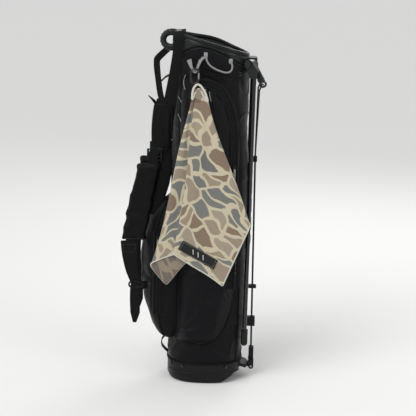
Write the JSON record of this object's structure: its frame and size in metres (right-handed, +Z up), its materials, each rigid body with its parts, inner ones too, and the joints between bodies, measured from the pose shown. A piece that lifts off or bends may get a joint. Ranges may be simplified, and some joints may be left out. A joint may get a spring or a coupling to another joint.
{
  "type": "golf stand bag",
  "caption": "Golf stand bag: fabric tube on stays with moulded base and collar, folding legs worked by a base lever, shoulder straps, zipped pockets and a clipped-on towel.",
  "frame": {"origin": "centre of the base on the floor", "axes": "+Z up, +X towards the stand legs, -X the spine with handle and straps, -Y the side with the towel"},
  "size_m": [0.3494, 0.2734, 0.877],
  "materials": {
    "cup_plastic": "moulded, fine texture",
    "collar_plastic": "satin moulded",
    "buckle_plastic": "moulded",
    "rim_rubber": "matt",
    "dark_metal": "satin black anodised",
    "steel": "dull",
    "stay": "pultruded rod",
    "shell_fabric": "coated woven nylon",
    "divider_fabric": "brushed lining",
    "pad_fabric": "padded air mesh and nylon",
    "webbing": "woven strap",
    "grey_webbing": "woven cord",
    "zip": "coil zip",
    "towel_cloth": "printed waffle microfibre",
    "label": "woven patch"
  },
  "bodies": {
    "bag": {"base_cup": "cup_plastic", "lower_wire_guide": "cup_plastic", "upper_wire_guide": "cup_plastic", "collar": "collar_plastic", "top_divider": "collar_plastic", "spine_handle": "collar_plastic", "leg_bracket": "collar_plastic", "rim_trim": "rim_rubber", "base_rivets": "steel", "lever_hinge_pin": "steel", "handle_screws": "steel", "bracket_screws": "steel", "pivot_screws": "steel", "stay_rods": "stay", "bag_skin": "shell_fabric", "apparel_pocket": "shell_fabric", "ball_pocket": "shell_fabric", "far_pocket": "shell_fabric", "bottle_pocket": "shell_fabric", "divider_panels": "divider_fabric", "hip_pad": "pad_fabric", "trunk_loop": "webbing", "towel_loop": "grey_webbing", "grey_loop": "grey_webbing", "apparel_zip": "zip", "ball_zip": "zip", "far_zip": "zip"},
    "leg_near": {"leg_knuckle_near": "collar_plastic", "leg_tube_near": "dark_metal", "leg_foot_near": "rim_rubber"},
    "leg_far": {"leg_knuckle_far": "collar_plastic", "leg_tube_far": "dark_metal", "leg_foot_far": "rim_rubber"},
    "lever": {"base_lever": "cup_plastic", "lever_tip_pin": "steel"},
    "rod": {"pull_rod": "dark_metal", "rod_foot": "cup_plastic", "rod_sleeve": "cup_plastic"},
    "strap_near": {"strap_web_near": "webbing", "strap_buckle_near": "buckle_plastic", "shoulder_pad_near": "pad_fabric", "strap_end_near": "webbing", "strap_tail_near": "webbing"},
    "strap_far": {"strap_web_far": "webbing", "strap_buckle_far": "buckle_plastic", "shoulder_pad_far": "pad_fabric", "strap_end_far": "webbing", "strap_tail_far": "webbing"},
    "towel_clip": {"carabiner": "dark_metal", "gate_pin": "steel", "towel": "towel_cloth", "towel_tab": "towel_cloth", "towel_label": "label"},
    "gate": {"carabiner_gate": "steel"},
    "apparel_slider": {"apparel_slider": "zip"},
    "ball_slider": {"ball_slider": "zip"},
    "far_slider": {"far_slider": "zip"}
  },
  "joints": [
    {"name": "leg_near_swing", "type": "hinge", "parent": "bag", "child": "leg_near", "pos_m": [0.095, -0.05, 0.799], "axis": [-0.4226, -0.9063, 0], "range_deg": [0, 28]},
    {"name": "leg_far_swing", "type": "hinge", "parent": "bag", "child": "leg_far", "pos_m": [0.095, 0.05, 0.799], "axis": [0.4226, -0.9063, 0], "range_deg": [-0.5, 28.5]},
    {"name": "base_lever_tilt", "type": "hinge", "parent": "bag", "child": "lever", "pos_m": [0.084, 0, 0.03638], "axis": [0, -1, 0], "range_deg": [-0.5, 34]},
    {"name": "rod_link", "type": "hinge", "parent": "lever", "child": "rod", "pos_m": [0.1196, 0, 0.0263], "axis": [0, -1, 0], "range_deg": [-35.5, 0.5]},
    {"name": "strap_near_swing", "type": "hinge", "parent": "bag", "child": "strap_near", "pos_m": [-0.174, -0.0692, 0.24], "axis": [0.1476, 0, 0.9891], "range_deg": [-8, 35]},
    {"name": "strap_far_swing", "type": "hinge", "parent": "bag", "child": "strap_far", "pos_m": [-0.174, 0.0692, 0.24], "axis": [-0.1476, 0, -0.9891], "range_deg": [-8, 35]},
    {"name": "towel_swing", "type": "hinge", "parent": "bag", "child": "towel_clip", "pos_m": [-0.039, -0.122, 0.7895], "axis": [-1, 0, 0], "range_deg": [0, 40]},
    {"name": "carabiner_gate_open", "type": "hinge", "parent": "towel_clip", "child": "gate", "pos_m": [-0.03, -0.122, 0.768], "axis": [0, -1, 0], "range_deg": [0, 22], "stiffness_Nm_per_rad": 0.005},
    {"name": "apparel_zip_slide", "type": "slide", "parent": "bag", "child": "apparel_slider", "axis": [0, 0, -1], "range_m": [0, 0.27]},
    {"name": "ball_zip_slide", "type": "slide", "parent": "bag", "child": "ball_slider", "axis": [0, 0, -1], "range_m": [0, 0.16]},
    {"name": "far_zip_slide", "type": "slide", "parent": "bag", "child": "far_slider", "axis": [0, 0, -1], "range_m": [0, 0.18]}
  ],
  "couplings": [
    {"joint": "leg_far_swing", "follows": "leg_near_swing", "ratio": 1},
    {"joint": "base_lever_tilt", "follows": "leg_near_swing", "ratio": 1.19},
    {"joint": "rod_link", "follows": "leg_near_swing", "ratio": -1.235}
  ]
}
